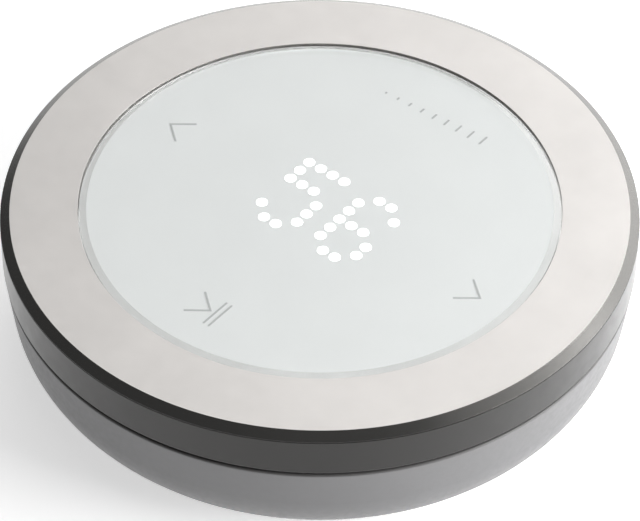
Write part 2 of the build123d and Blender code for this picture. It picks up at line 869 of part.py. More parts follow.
with BuildPart() as foot_ring:
    with BuildSketch(Plane.XY):
        Circle(foot_outer)
        Circle(foot_inner, mode=Mode.SUBTRACT)
    extrude(amount=foot_top)
    fillet(foot_ring.faces().sort_by(Axis.Z)[0].edges(), foot_round)
finish(foot_ring.part, "foot_ring")

with BuildPart() as case_screws:
    with BuildSketch(Plane.XY.offset(groove_roof + seat_clearance)):
        with PolarLocations(column_circle, column_count, start_angle=45):
            Circle(case_screw[1])
            RegularPolygon(large_socket, screw_sides, mode=Mode.SUBTRACT)
    extrude(amount=case_screw[2])
    with BuildSketch(Plane.XY.offset(groove_roof + seat_clearance + case_screw[2])):
        with PolarLocations(column_circle, column_count, start_angle=45):
            Circle(case_screw[0])
    extrude(amount=hub_bottom + case_screw_reach - groove_roof - seat_clearance - case_screw[2])
finish(case_screws.part, "case_screws")

# ---- Battery door -------------------------------------------------------------------------------

door_edge_round = 0.2
coin_slot = (18.0, 2.0)
coin_slot_depth = 0.9
door_dot_circle = 23.4
pad_size = (34.0, 18.0, 1.5)
pad_corner = 2.0

with BuildPart() as battery_door:
    with BuildSketch(Plane.XY.offset(door_bottom)):
        Circle(door_radius)
    extrude(amount=door_plate_top - door_bottom)
    fillet(battery_door.faces().sort_by(Axis.Z)[0].edges(), door_edge_round)
    with BuildSketch(Plane.XY.offset(door_plate_top)):
        Circle(door_radius)
        Circle(door_rim_inner, mode=Mode.SUBTRACT)
    extrude(amount=door_rim_top - door_plate_top)
    for lug in range(lug_count):
        lug_start = lug * 360 / lug_count - lug_span / 2
        extrude(
            sector(lug_bottom, door_radius - 0.5, lug_radius, lug_start, lug_span),
            amount=door_rim_top - lug_bottom,
        )
    # Coin slot across the outside, and the dot that points at the base's index dots
    with BuildSketch(Plane.XY.offset(door_bottom)):
        SlotOverall(coin_slot[0], coin_slot[1])
        with PolarLocations(door_dot_circle, 1, start_angle=-90):
            Circle(index_dot_radius)
    extrude(amount=coin_slot_depth, mode=Mode.SUBTRACT)
finish(battery_door.part, "battery_door")

# Foam pad that keeps the cells from rattling
with BuildPart() as door_pad:
    with BuildSketch(Plane.XY.offset(door_plate_top)):
        RectangleRounded(pad_size[0], pad_size[1], pad_corner)
    extrude(amount=pad_size[2])
finish(door_pad.part, "door_pad")
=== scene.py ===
"""Looks for a rotary remote control: visible shells as fine lathed meshes, procedural materials,
printed face marks, lit display dots, a plain studio and the camera.

Everything is in metres in the part's own frame. Sizes inside the pieces are given in millimetres and
turned into metres by MM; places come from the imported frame's boxes.
"""

import json
import math

import bmesh
import bpy
from mathutils import Matrix, Vector


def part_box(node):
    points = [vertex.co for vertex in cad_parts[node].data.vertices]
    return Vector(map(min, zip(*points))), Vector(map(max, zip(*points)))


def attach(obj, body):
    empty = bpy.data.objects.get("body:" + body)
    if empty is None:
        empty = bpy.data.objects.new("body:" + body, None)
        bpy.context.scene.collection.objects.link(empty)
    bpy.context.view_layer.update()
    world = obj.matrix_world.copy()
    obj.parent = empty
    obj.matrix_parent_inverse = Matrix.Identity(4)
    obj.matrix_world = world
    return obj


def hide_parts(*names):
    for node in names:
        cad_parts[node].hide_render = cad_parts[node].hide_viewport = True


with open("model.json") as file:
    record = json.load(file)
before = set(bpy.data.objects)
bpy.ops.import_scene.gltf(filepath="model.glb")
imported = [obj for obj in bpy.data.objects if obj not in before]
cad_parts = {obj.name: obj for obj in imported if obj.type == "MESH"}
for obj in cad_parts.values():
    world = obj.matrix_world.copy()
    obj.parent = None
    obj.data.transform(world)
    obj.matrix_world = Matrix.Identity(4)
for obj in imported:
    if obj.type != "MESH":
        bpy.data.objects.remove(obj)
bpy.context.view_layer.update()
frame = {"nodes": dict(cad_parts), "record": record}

MM = 0.001
TAU = 2 * math.pi
ROUND_STEPS = 288
SHARP_ANGLE = 30

slot_of = {entry["node"]: entry["material_slot"] for entry in frame["record"]["subparts"]}


def low(node):
    """Lowest height of a CAD node."""
    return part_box(node)[0].z


def high(node):
    """Highest height of a CAD node."""
    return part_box(node)[1].z


def reach(node):
    """Outer radius of a round CAD node."""
    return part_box(node)[1].x


def new_object(name, data):
    """Links a new object that holds a mesh, a light or the camera."""
    made = bpy.data.objects.new(name, data)
    bpy.context.scene.collection.objects.link(made)
    return made


# ---- Camera -------------------------------------------------------------------------------------

LENS = 217.2
VIEW_AZIMUTH = math.radians(38.64)
VIEW_ELEVATION = math.radians(43.64)
VIEW_DISTANCE = 0.483
AIM_PITCH = math.radians(44.486)
AIM_YAW = math.radians(0.009)
AIM_ROLL = math.radians(0.42)


def make_camera():
    """The camera looks down at the ring's top face."""
    data = bpy.data.cameras.new("camera")
    data.lens = LENS
    data.sensor_width = 36.0
    data.clip_start = 0.01
    data.clip_end = 50.0
    camera = new_object("camera", data)
    turn = Matrix.Rotation(VIEW_AZIMUTH, 3, "Z")
    away = Vector((0, -math.cos(VIEW_ELEVATION), math.sin(VIEW_ELEVATION))) * VIEW_DISTANCE
    ahead = Vector((math.sin(AIM_YAW) * math.cos(AIM_PITCH),
                    math.cos(AIM_YAW) * math.cos(AIM_PITCH), -math.sin(AIM_PITCH)))
    right = Vector((math.cos(AIM_YAW), -math.sin(AIM_YAW), 0))
    up = right.cross(ahead)
    rolled_right = right * math.cos(AIM_ROLL) + up * math.sin(AIM_ROLL)
    rolled_up = up * math.cos(AIM_ROLL) - right * math.sin(AIM_ROLL)
    axes = Matrix((rolled_right, rolled_up, -ahead)).transposed()
    place = turn @ away + Vector((0, 0, high("top_ring")))
    camera.matrix_world = Matrix.Translation(place) @ (turn @ axes).to_4x4()
    bpy.context.scene.camera = camera


# ---- Mesh helpers -------------------------------------------------------------------------------

# Degrees between an arc's points. An arc over LARGE_ROUND millimetres has LARGE_EXTRA more of them
ARC_STEP = 9
LARGE_ROUND = 2
LARGE_EXTRA = 6
# Metres within which points are one point, an edge has no length, and a point is on the axis
MERGE_DISTANCE = 1e-7
TINY_EDGE = 1e-8
ON_AXIS = 1e-9
MITRE_LIMIT = 0.2


def rounded(corners, support=0.03):
    """A closed outline from (radius, height, rounding) corners in millimetres, as points in metres.

    Each rounded corner becomes an arc. Points just outside the arc, support millimetres away, keep
    the flats shading flat.
    """
    outline = []
    count = len(corners)
    for i, (x, y, rounding) in enumerate(corners):
        here = Vector((x, y))
        if rounding == 0:
            outline.append(here)
            continue
        to_last = (Vector(corners[i - 1][:2]) - here).normalized()
        to_next = (Vector(corners[(i + 1) % count][:2]) - here).normalized()
        half = math.acos(max(-1.0, min(1.0, to_last.dot(to_next)))) / 2
        tangent = rounding / math.tan(half)
        middle = here + (to_last + to_next).normalized() * (rounding / math.sin(half))
        start = here + to_last * tangent
        end = here + to_next * tangent
        sweep = math.pi - 2 * half
        extra = LARGE_EXTRA if rounding > LARGE_ROUND else 0
        steps = max(3, int(math.degrees(sweep) / ARC_STEP) + extra)
        arm = start - middle
        turn = sweep if arm.cross(end - middle) > 0 else -sweep
        outline.append(start + to_last * support)
        for k in range(steps + 1):
            a = turn * k / steps
            outline.append(middle + Vector((arm.x * math.cos(a) - arm.y * math.sin(a),
                                            arm.x * math.sin(a) + arm.y * math.cos(a))))
        outline.append(end + to_next * support)
    return [p * MM for p in outline]


def close_mesh(name, bm, sharp=SHARP_ANGLE):
    """Turns a bmesh into a smooth-shaded object with sharp edges past that angle."""
    bmesh.ops.remove_doubles(bm, verts=bm.verts, dist=MERGE_DISTANCE)
    bmesh.ops.dissolve_degenerate(bm, edges=bm.edges, dist=TINY_EDGE)
    bmesh.ops.recalc_face_normals(bm, faces=bm.faces)
    mesh = bpy.data.meshes.new(name)
    bm.to_mesh(mesh)
    bm.free()
    for face in mesh.polygons:
        face.use_smooth = True
    mesh.set_sharp_from_angle(angle=math.radians(sharp))
    return new_object(name, mesh)


def lathe(name, outline, gaps=(), bridge=None, zone=None, sharp=SHARP_ANGLE):
    """Revolves a closed (radius, height) outline about Z.

    In each gap, a (start, stop) pair of degrees, the outline runs straight between its two bridge
    points, and the stretch between them is left out. zone(radius, height) gives a face's material.
    """
    angles = {round(360 * k / ROUND_STEPS, 6) for k in range(ROUND_STEPS)}
    for start, stop in gaps:
        angles |= {round(start % 360, 6), round(stop % 360, 6)}
    angles = sorted(angles)
    count = len(outline)
    bm = bmesh.new()
    columns = []
    for angle in angles:
        c, s = math.cos(math.radians(angle)), math.sin(math.radians(angle))
        columns.append([bm.verts.new((p.x * c, p.x * s, p.y)) for p in outline])

    def in_gap(angle):
        return any((angle - start) % 360 < (stop - start) for start, stop in gaps)

    def face(corners, where):
        made = bm.faces.new(corners)
        made.material_index = zone(where.x / MM, where.y / MM) if zone else 0

    whole = [(i, (i + 1) % count) for i in range(count)]
    short = whole
    if bridge:
        first, last = bridge
        short = [e for e in whole if not first <= e[0] < last] + [(first, last)]
    cells = []
    for j, angle in enumerate(angles):
        after = angles[(j + 1) % len(angles)] + (360 if j + 1 == len(angles) else 0)
        cells.append(in_gap((angle + after) / 2 % 360))
        one, two = columns[j], columns[(j + 1) % len(angles)]
        for a, b in (short if cells[-1] else whole):
            if outline[a].x < ON_AXIS and outline[b].x < ON_AXIS:
                continue
            face((one[a], one[b], two[b], two[a]), (outline[a] + outline[b]) / 2)
    for j in range(len(angles)):
        if cells[j] != cells[j - 1]:
            face(columns[j][bridge[0]:bridge[1] + 1], outline[bridge[0]])
    return close_mesh(name, bm, sharp)


def nearest(outline, x, y):
    """Index of the outline point nearest to (x, y) in millimetres."""
    target = Vector((x, y)) * MM
    return min(range(len(outline)), key=lambda i: (outline[i] - target).length)


def slab(name, outlines, bottom, thickness, centre=(0, 0)):
    """A thin solid from closed 2-D outlines in millimetres, standing on a height in metres."""
    bm = bmesh.new()
    for points in outlines:
        places = [((x + centre[0]) * MM, (y + centre[1]) * MM) for x, y in points]
        lower = [bm.verts.new((x, y, bottom)) for x, y in places]
        upper = [bm.verts.new((x, y, bottom + thickness)) for x, y in places]
        bm.faces.new(lower[::-1])
        bm.faces.new(upper)
        for k in range(len(points)):
            n = (k + 1) % len(points)
            bm.faces.new((lower[k], lower[n], upper[n], upper[k]))
    return close_mesh(name, bm)


def stroke(points, width):
    """The outline of a line of that width through the points, with mitred corners."""
    path = [Vector(p) for p in points]
    sides = ([], [])
    for i, here in enumerate(path):
        before = (here - path[i - 1]).normalized() if i else (path[1] - here).normalized()
        after = (path[i + 1] - here).normalized() if i + 1 < len(path) else before
        across = Vector((-before.y, before.x))
        mitre = (across + Vector((-after.y, after.x))).normalized()
        offset = mitre * (width / 2 / max(MITRE_LIMIT, mitre.dot(across)))
        sides[0].append(tuple(here + offset))
        sides[1].append(tuple(here - offset))
    return sides[0] + sides[1][::-1]


def cut(piece, cutter):
    """Takes the cutter's solid out of the piece and applies it."""
    modifier = piece.modifiers.new("cut", "BOOLEAN")
    modifier.operation = "DIFFERENCE"
    modifier.solver = "EXACT"
    modifier.object = cutter
    bpy.context.view_layer.update()
    ready = piece.evaluated_get(bpy.context.evaluated_depsgraph_get())
    mesh = bpy.data.meshes.new_from_object(ready)
    piece.modifiers.clear()
    piece.data = mesh
    bpy.data.objects.remove(cutter)
    mesh.set_sharp_from_angle(angle=math.radians(SHARP_ANGLE))
    return piece


# ---- Materials ----------------------------------------------------------------------------------

# A pattern's useful range: noise rarely leaves it
PATTERN_LOW, PATTERN_HIGH = 0.3, 0.7
BLAST_GRAIN = 0.12
TURNING_PITCH = 0.25
TURNING_WOBBLE = 0.4


class Finish:
    """A Principled material with small helpers for its procedural detail."""

    def __init__(self, name, color, roughness, metallic=0.0):
        self.material = bpy.data.materials.new(name)
        self.material.use_nodes = True
        self.tree = self.material.node_tree
        self.shader = self.tree.nodes["Principled BSDF"]
        self.give({"Base Color": (*color, 1), "Roughness": roughness, "Metallic": metallic})
        self.place = self.tree.nodes.new("ShaderNodeTexCoord").outputs["Object"]

    def give(self, values):
        """Sets the shader's own sockets."""
        for socket, value in values.items():
            self.shader.inputs[socket].default_value = value

    def node(self, kind, values, **choices):
        """A new node with its sockets' values and its menu choices."""
        made = self.tree.nodes.new(kind)
        for key, choice in choices.items():
            setattr(made, key, choice)
        for socket, value in values.items():
            made.inputs[socket].default_value = value
        return made

    def link(self, source, target):
        """Joins two sockets."""
        self.tree.links.new(source, target)

    def noise(self, size, detail, stretch=None):
        """Noise with features of about that size in millimetres."""
        made = self.node("ShaderNodeTexNoise", {"Scale": 1 / (size * MM), "Detail": detail})
        source = self.place
        if stretch:
            mapping = self.node("ShaderNodeMapping", {"Scale": stretch})
            self.link(self.place, mapping.inputs["Vector"])
            source = mapping.outputs["Vector"]
        self.link(source, made.inputs["Vector"])
        return made.outputs["Fac"]

    def cells(self, size, feature="F1"):
        """Voronoi cells of about that size in millimetres."""
        made = self.node("ShaderNodeTexVoronoi", {"Scale": 1 / (size * MM)}, feature=feature)
        self.link(self.place, made.inputs["Vector"])
        return made.outputs["Distance"]

    def rings(self):
        """Turning lines about Z, TURNING_PITCH millimetres apart. A wave is TAU / 20 long."""
        values = {"Scale": TAU / (20 * TURNING_PITCH * MM), "Distortion": TURNING_WOBBLE,
                  "Detail Scale": 3.0}
        made = self.node("ShaderNodeTexWave", values, wave_type="RINGS", rings_direction="Z")
        self.link(self.place, made.inputs["Vector"])
        return made.outputs["Fac"]

    def tint(self, source, dark, light, start=PATTERN_LOW, stop=PATTERN_HIGH):
        """Colours the surface from dark to light by a pattern."""
        ramp = self.node("ShaderNodeValToRGB", {})
        ramp.color_ramp.elements[0].position = start
        ramp.color_ramp.elements[1].position = stop
        ramp.color_ramp.elements[0].color = (*dark, 1)
        ramp.color_ramp.elements[1].color = (*light, 1)
        self.link(source, ramp.inputs["Fac"])
        self.link(ramp.outputs["Color"], self.shader.inputs["Base Color"])
        return ramp

    def rough(self, source, smooth, coarse):
        """Varies the roughness between two values by a pattern."""
        made = self.node("ShaderNodeMapRange", {"From Min": PATTERN_LOW, "From Max": PATTERN_HIGH,
                                                "To Min": smooth, "To Max": coarse})
        self.link(source, made.inputs["Value"])
        self.link(made.outputs["Result"], self.shader.inputs["Roughness"])

    def bump(self, source, depth):
        """Adds relief of that depth in millimetres on top of what is there."""
        made = self.node("ShaderNodeBump", {"Strength": 1.0, "Distance": depth * MM})
        self.link(source, made.inputs["Height"])
        normal = self.shader.inputs["Normal"]
        if normal.is_linked:
            self.link(normal.links[0].from_socket, made.inputs["Normal"])
        self.link(made.outputs["Normal"], normal)


def shade(color, factor):
    """A colour made darker or lighter."""
    return tuple(min(1.0, c * factor) for c in color)


def blasted_metal(name, color, roughness, turning, depth=0.002, wander=0.035):
    """Anodised aluminium: fine blasted grain, slow colour drift, faint turning lines.

    Grain and lines have their depths in millimetres, and the roughness wanders by that much.
    """
    finish = Finish(name, color, roughness, metallic=1.0)
    finish.tint(finish.noise(9.0, 4.0), shade(color, 0.96), shade(color, 1.03))
    finish.rough(finish.noise(1.7, 5.0), roughness - wander, roughness + wander)
    finish.bump(finish.noise(BLAST_GRAIN, 2.0), depth)
    finish.bump(finish.rings(), turning)
    return finish.material


def dyed_metal(name, color, roughness):
    """Dark anodised aluminium: dyed metal under the clear oxide layer, with faint turning lines."""
    finish = Finish(name, color, roughness + 0.15, metallic=1.0)
    finish.tint(finish.noise(9.0, 4.0), shade(color, 0.92), shade(color, 1.08))
    finish.rough(finish.noise(1.7, 5.0), roughness + 0.1, roughness + 0.2)
    finish.bump(finish.noise(BLAST_GRAIN, 2.0), 0.002)
    finish.bump(finish.rings(), 0.0008)
    finish.give({"Coat Weight": 1.0, "Coat Roughness": roughness, "Coat IOR": 1.42})
    return finish.material


def bright_metal(name, color, roughness, brush=None):
    """Ground or plated steel with fine scratches."""
    finish = Finish(name, color, roughness, metallic=1.0)
    finish.tint(finish.noise(2.2, 6.0), shade(color, 0.88), shade(color, 1.06))
    finish.rough(finish.noise(0.5, 6.0, brush), roughness * 0.7, roughness * 1.4)
    finish.bump(finish.noise(0.25, 3.0, brush), 0.003)
    return finish.material


def moulded(name, color, roughness, grain=0.22, depth=0.006, shine=0.5):
    """Moulded plastic with a fine eroded texture."""
    finish = Finish(name, color, roughness)
    finish.give({"Specular IOR Level": shine})
    finish.tint(finish.noise(14.0, 3.0), shade(color, 0.96), shade(color, 1.02))
    finish.rough(finish.noise(0.8, 4.0), roughness - 0.05, roughness + 0.06)
    finish.bump(finish.cells(grain), depth)
    finish.bump(finish.noise(grain * 4, 4.0), depth * 0.6)
    return finish.material


def soft_rubber(name, color):
    """Matt rubber with a dusty, slightly uneven skin."""
    finish = Finish(name, color, 0.75)
    finish.tint(finish.noise(2.5, 7.0), shade(color, 0.85), shade(color, 1.15))
    finish.rough(finish.noise(0.6, 5.0), 0.65, 0.85)
    finish.bump(finish.noise(0.15, 4.0), 0.01)
    finish.give({"Sheen Weight": 0.15})
    return finish.material


def felt(name, color):
    """Short black felt."""
    finish = Finish(name, color, 0.95)
    finish.tint(finish.noise(0.3, 8.0), shade(color, 0.5), shade(color, 1.6))
    finish.bump(finish.noise(0.12, 8.0), 0.05)
    finish.give({"Sheen Weight": 0.4})
    return finish.material


def open_foam(name, color):
    """Open-cell foam, darker where its surface sinks: painted shade in the pores."""
    finish = Finish(name, color, 0.9)
    cells = finish.cells(0.5)
    # Painted shade: the same cells darken the colour where the bump sinks them
    finish.tint(cells, shade(color, 1.4), shade(color, 0.35), 0.1, 0.8)
    finish.bump(cells, -0.15)
    return finish.material


def laminate(name, color):
    """Circuit board: solder mask with buried tracks and a fine weave."""
    finish = Finish(name, color, 0.35)
    tracks = finish.cells(2.1, "DISTANCE_TO_EDGE")
    finish.tint(tracks, shade(color, 2.1), color, 0.02, 0.06)
    finish.bump(tracks, 0.01)
    finish.bump(finish.noise(0.3, 2.0, (1, 6, 1)), 0.002)
    finish.give({"Coat Weight": 0.4})
    return finish.material


def cell_sleeve(name, color, band):
    """A battery's printed sleeve: dark, with a light band where X is past the band's start."""
    finish = Finish(name, color, 0.3)
    split = finish.node("ShaderNodeSeparateXYZ", {})
    finish.link(finish.place, split.inputs["Vector"])
    band_start = 12 * MM
    ramp = finish.tint(split.outputs["X"], color, band, 0.0, band_start)
    ramp.color_ramp.interpolation = "CONSTANT"
    finish.rough(finish.noise(1.2, 5.0), 0.22, 0.42)
    finish.bump(finish.noise(0.6, 4.0), 0.004)
    finish.give({"Coat Weight": 0.3})
    return finish.material


def milky(name, color, scatter=0.0):
    """White print, diffuser or lens moulding."""
    finish = Finish(name, color, 0.55)
    finish.tint(finish.noise(6.0, 5.0), shade(color, 0.985), shade(color, 1.01))
    finish.rough(finish.noise(0.4, 4.0), 0.5, 0.62)
    finish.bump(finish.noise(0.2, 3.0), 0.0015)
    finish.give({"Subsurface Weight": scatter, "Subsurface Scale": 0.5 * MM})
    return finish.material


def clear_glass(name, color, roughness=0.0, clarity=1.0):
    """Cover glass, faintly uneven as floated glass is. A ground face scatters what isn't clear."""
    finish = Finish(name, color, roughness)
    finish.bump(finish.noise(26.0, 1.0), 0.004)
    finish.rough(finish.noise(3.0, 5.0), roughness, roughness + 0.02)
    finish.give({"Transmission Weight": clarity, "IOR": 1.5})
    return finish.material


def glow(name, color, strength):
    """A lit dot of the display, seen through the white film."""
    finish = Finish(name, color, 0.5)
    finish.tint(finish.noise(0.5, 3.0), shade(color, 0.98), color)
    finish.give({"Emission Color": (*color, 1), "Emission Strength": strength})
    return finish.material


def film(name, color, roughness=0.2):
    """Clear or tinted plastic film with conductor traces."""
    finish = Finish(name, color, roughness)
    grid = finish.cells(1.6, "DISTANCE_TO_EDGE")
    finish.tint(grid, shade(color, 0.75), color, 0.02, 0.05)
    finish.rough(finish.noise(2.0, 3.0), roughness, roughness + 0.1)
    finish.bump(grid, 0.004)
    return finish.material


def make_finishes():
    """One material for each slot of the record."""
    return {
        "ring_aluminium": blasted_metal("ring_satin", (0.775, 0.75, 0.727), 0.36, 0.0006),
        "band_aluminium": dyed_metal("band_satin", (0.0085, 0.0075, 0.0065), 0.28),
        "cover_glass": clear_glass("cover_glass", (0.97, 0.99, 0.985)),
        "film_white": milky("film_white", (0.90, 0.91, 0.905)),
        # Painted shade: the base shell is white plastic, and this dark grey stands in for the shade
        # on it
        "shell_plastic": moulded("shell_painted_shade", (0.162, 0.161, 0.164), 0.4, depth=0.0012, shine=0.3),
        "door_plastic": moulded("door_satin", (0.147, 0.146, 0.148), 0.38, depth=0.0016),
        "foot_rubber": soft_rubber("foot_rubber", (0.10, 0.10, 0.105)),
        # The dust seal is black felt, and its black also stands in for the shade in the gap between
        # band and base: partly painted shade
        "seal_felt": felt("seal_felt", (0.012, 0.012, 0.012)),
        "frame_plastic": moulded("frame_black", (0.02, 0.02, 0.022), 0.5),
        "tray_plastic": moulded("tray_grey", (0.045, 0.045, 0.05), 0.5),
        "cage_plastic": moulded("cage_natural", (0.72, 0.68, 0.55), 0.45),
        "race_steel": bright_metal("race_steel", (0.56, 0.56, 0.57), 0.22, (1, 1, 8)),
        "ball_steel": bright_metal("ball_steel", (0.68, 0.68, 0.69), 0.08),
        "screw_steel": bright_metal("screw_oxide", (0.06, 0.06, 0.065), 0.38),
        "spring_steel": bright_metal("spring_steel", (0.50, 0.50, 0.49), 0.25),
        "contact_nickel": bright_metal("contact_nickel", (0.66, 0.63, 0.56), 0.24, (6, 1, 1)),
        "magnet_ferrite": moulded("magnet_ferrite", (0.03, 0.03, 0.032), 0.6, 0.15),
        "cell_label": cell_sleeve("cell_sleeve", (0.02, 0.035, 0.05), (0.55, 0.42, 0.22)),
        "board_laminate": laminate("board_mask", (0.01, 0.07, 0.035)),
        "chip_black": moulded("chip_epoxy", (0.018, 0.018, 0.018), 0.55, 0.12),
        "shield_tin": bright_metal("shield_tin", (0.62, 0.62, 0.60), 0.3, (1, 5, 1)),
        "antenna_ceramic": moulded("antenna_ceramic", (0.70, 0.70, 0.66), 0.5, 0.1, 0.002),
        "led_white": milky("led_lens", (0.80, 0.72, 0.38), 0.1),
        "grid_plastic": moulded("grid_white", (0.78, 0.78, 0.78), 0.4),
        "diffuser_plastic": milky("diffuser_milky", (0.82, 0.82, 0.82), 0.2),
        "touch_plastic": film("touch_film", (0.60, 0.64, 0.66)),
        "tape_black": felt("tape_black", (0.015, 0.015, 0.015)),
        "flex_polyimide": film("flex_amber", (0.34, 0.11, 0.01), 0.25),
        "pad_foam": open_foam("pad_foam", (0.03, 0.03, 0.03)),
    }


def dress(piece, *materials):
    """Gives a piece its materials in order, and keeps which face wears which."""
    worn = [face.material_index for face in piece.data.polygons]
    piece.data.materials.clear()
    for material in materials:
        piece.data.materials.append(material)
    last = len(materials) - 1
    piece.data.polygons.foreach_set("material_index", [min(index, last) for index in worn])


def settle(piece, body, slot, *replaced):
    """Hangs a piece on its body and hides the CAD nodes it stands for. The slot is not used."""
    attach(piece, body)
    if replaced:
        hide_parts(*replaced)


# ---- Turning ring -------------------------------------------------------------------------------

BEVEL_WIDTH = 1.2
BEVEL_HEIGHT = 0.8
BEVEL_LAND = 0.06
# How far the polish reaches onto the face, and the wall's painted shade into the face at the window
POLISH_OVERLAP = 0.02
WALL_SHADE_OVERLAP = 0.01
WINDOW_GAP = 0.15
LIP_RADIUS = 37.98
LIP_CLEARANCE = 0.04
LIP_HEIGHT = 0.8
# The dark line between the face plate and the band's outside
LINE_HEIGHT = 0.15
LINE_DEPTH = 1.1
BAND_WALL = 1.3


def make_top_ring(finishes):
    """Face plate: flat satin face with a polished bevel round its edge."""
    top, bottom = high("top_ring") / MM, low("top_ring") / MM
    outer = reach("top_ring") / MM
    window = reach("glass_face") / MM + WINDOW_GAP
    edge = top - BEVEL_HEIGHT
    outline = rounded([
        (window, bottom, 0),
        (LIP_RADIUS, bottom, 0),
        (LIP_RADIUS, edge - BEVEL_LAND, 0),
        (outer, edge - BEVEL_LAND, 0),
        (outer, edge, 0.015),
        (outer - BEVEL_WIDTH, top, 0.05),
        (window, top, 0.025),
    ], 0.01)
    inner_edge = outer - BEVEL_WIDTH - POLISH_OVERLAP
    wall_shade_edge = window + WALL_SHADE_OVERLAP

    # Face 0, bevel 1, land under the bevel 2, window wall 3. Land and wall are painted darker:
    # painted shade in the parting line and the window gap
    def zone(radius, height):
        if radius < wall_shade_edge:
            return 3
        if radius < inner_edge:
            return 0
        return 1 if height > edge else 2

    ring = lathe("face_ring", outline, zone=zone)
    bevel = blasted_metal("bevel_polish", (0.16, 0.157, 0.151), 0.26, 0.0003, 0.0003, 0.004)
    # Painted shade: the window wall is the face's metal made darker
    wall_shade = blasted_metal("window_wall_painted_shade", (0.36, 0.35, 0.34), 0.4, 0.0006)
    # Painted shade: the land under the bevel wears the band's near-black metal
    dress(ring, finishes["ring_aluminium"], bevel, finishes["band_aluminium"], wall_shade)
    settle(ring, "volume_ring", "ring_aluminium", "top_ring")


def make_grip_band(finishes):
    """Upright band with softly rounded edges, the dark line under the face plate and the lip."""
    top, bottom = high("grip_band") / MM, low("grip_band") / MM
    outer = reach("grip_band") / MM
    inner = outer - BAND_WALL
    line_inner = outer - LINE_DEPTH
    line_bottom = high("top_ring") / MM - BEVEL_HEIGHT - BEVEL_LAND - LINE_HEIGHT
    lip_inner = LIP_RADIUS + LIP_CLEARANCE
    outline = rounded([
        (inner, bottom, 0.1),
        (outer, bottom, 0.16),
        (outer, line_bottom, 0.04),
        (line_inner, line_bottom, 0),
        (line_inner, top, 0),
        (lip_inner, top, 0),
        (lip_inner, top - LIP_HEIGHT, 0),
        (inner, top - LIP_HEIGHT, 0),
    ])
    band = lathe("side_band", outline)
    dress(band, finishes["band_aluminium"])
    settle(band, "volume_ring", "band_aluminium", "grip_band")


# ---- Glass face and display ---------------------------------------------------------------------

GLASS_BEVEL_WIDTH = 0.95
GLASS_BEVEL_DROP = 0.27
# The ground face starts this far above the glass's back
GROUND_START = 0.1
# How far the paint on the glass's side stays below its top
PAINT_TOP = 0.7
PAINT_INNER = 0.01
PAINT_OUTER = 0.06
# The print lies just above the film, centred a little off the glass's middle
INK_GAP = 0.002
INK_THICKNESS = 0.02
PRINT_CENTRE = (0.14, 0.2)
STROKE = 0.27
# Marks: sideways arrows for previous and next, an arrow with two bars for play and pause
SKIP_TIP = 24.9
SKIP_BACK = 22.3
SKIP_HALF = 2.07
PLAY_ARROW = ((-1.87, -20.45), (0.71, -22.5), (-1.87, -24.5))
PAUSE_BARS = (1.41, 2.2)
PAUSE_TOP = -20.2
PAUSE_BOTTOM = -24.7
# A row of ticks over the display, rising from left to right
TICK_COUNT = 9
TICK_PITCH = 1.9
TICK_SHIFT = 0.4
TICK_BASE = 22.0
TICK_SHORTEST = 0.35
TICK_RISE = 0.17
# Display dots, the pattern of each digit and the first of the grid's columns that it takes
DOT_PITCH = 1.89
DOT_DIAMETER = 1.46
DIGITS = {
    "5": ("####", "#...", "###.", "...#", "...#", "#..#", ".##."),
    "6": (".##.", "#..#", "#...", "###.", "#..#", "#..#", ".##."),
}
DIGIT_COLUMNS = {1: "5", 6: "6"}
GRID_COLUMNS = 10


def make_glass(finishes):
    """Cover glass with a ground bevel round its edge."""
    top, bottom = high("glass_face") / MM, low("glass_face") / MM
    outer = reach("glass_face") / MM
    outline = rounded([
        (0, bottom, 0),
        (outer, bottom, 0.08),
        (outer, top - GLASS_BEVEL_DROP, 0.05),
        (outer - GLASS_BEVEL_WIDTH, top, 0.8),
        (0, top, 0),
    ])
    flat_radius = outer - GLASS_BEVEL_WIDTH

    def zone(radius, height):
        return 1 if radius > flat_radius and height > bottom + GROUND_START else 0

    glass = lathe("touch_glass", outline, zone=zone, sharp=50)
    glass.visible_shadow = False
    # The ground edge is frosted glass, and its grey tint is painted shade at the glass's rim
    edge = clear_glass("ground_edge_and_shade", (0.70, 0.698, 0.686), 0.15, 0.93)
    dress(glass, finishes["cover_glass"], edge)
    settle(glass, "base", "cover_glass", "glass_face")


def make_print(finishes):
    """White paint on the glass's back and side, and the marks."""
    top, bottom = high("printed_film") / MM, low("printed_film") / MM
    glass_side = reach("glass_face") / MM
    paint_inner, paint_outer = glass_side + PAINT_INNER, glass_side + PAINT_OUTER
    paint_top = high("glass_face") / MM - PAINT_TOP
    sheet = lathe("face_film", rounded([
        (0, bottom, 0),
        (paint_outer, bottom, 0.02),
        (paint_outer, paint_top, 0),
        (paint_inner, paint_top, 0),
        (paint_inner, top, 0),
        (0, top, 0),
    ], 0.01))
    sheet.visible_shadow = False
    dress(sheet, finishes["film_white"])
    settle(sheet, "base", "film_white", "printed_film")
    ink = milky("mark_grey", (0.50, 0.51, 0.51))
    bars = [stroke([(x, PAUSE_TOP), (x, PAUSE_BOTTOM)], STROKE) for x in PAUSE_BARS]
    marks = {
        "mark_previous": [skip_arrow(-1)],
        "mark_next": [skip_arrow(1)],
        "mark_play_pause": [stroke(PLAY_ARROW, STROKE), *bars],
        "mark_volume": [volume_tick(k) for k in range(TICK_COUNT)],
    }
    for name, outlines in marks.items():
        lay_print(name, outlines, ink)


def lay_print(name, outlines, material):
    """Lays flat shapes on the film, under the glass."""
    bottom = high("printed_film") + INK_GAP * MM
    piece = slab(name, outlines, bottom, INK_THICKNESS * MM, PRINT_CENTRE)
    dress(piece, material)
    settle(piece, "base", "film_white")


def skip_arrow(side):
    """An arrow that points left (-1) or right (1)."""
    return stroke([(side * SKIP_BACK, SKIP_HALF), (side * SKIP_TIP, 0),
                   (side * SKIP_BACK, -SKIP_HALF)], STROKE)


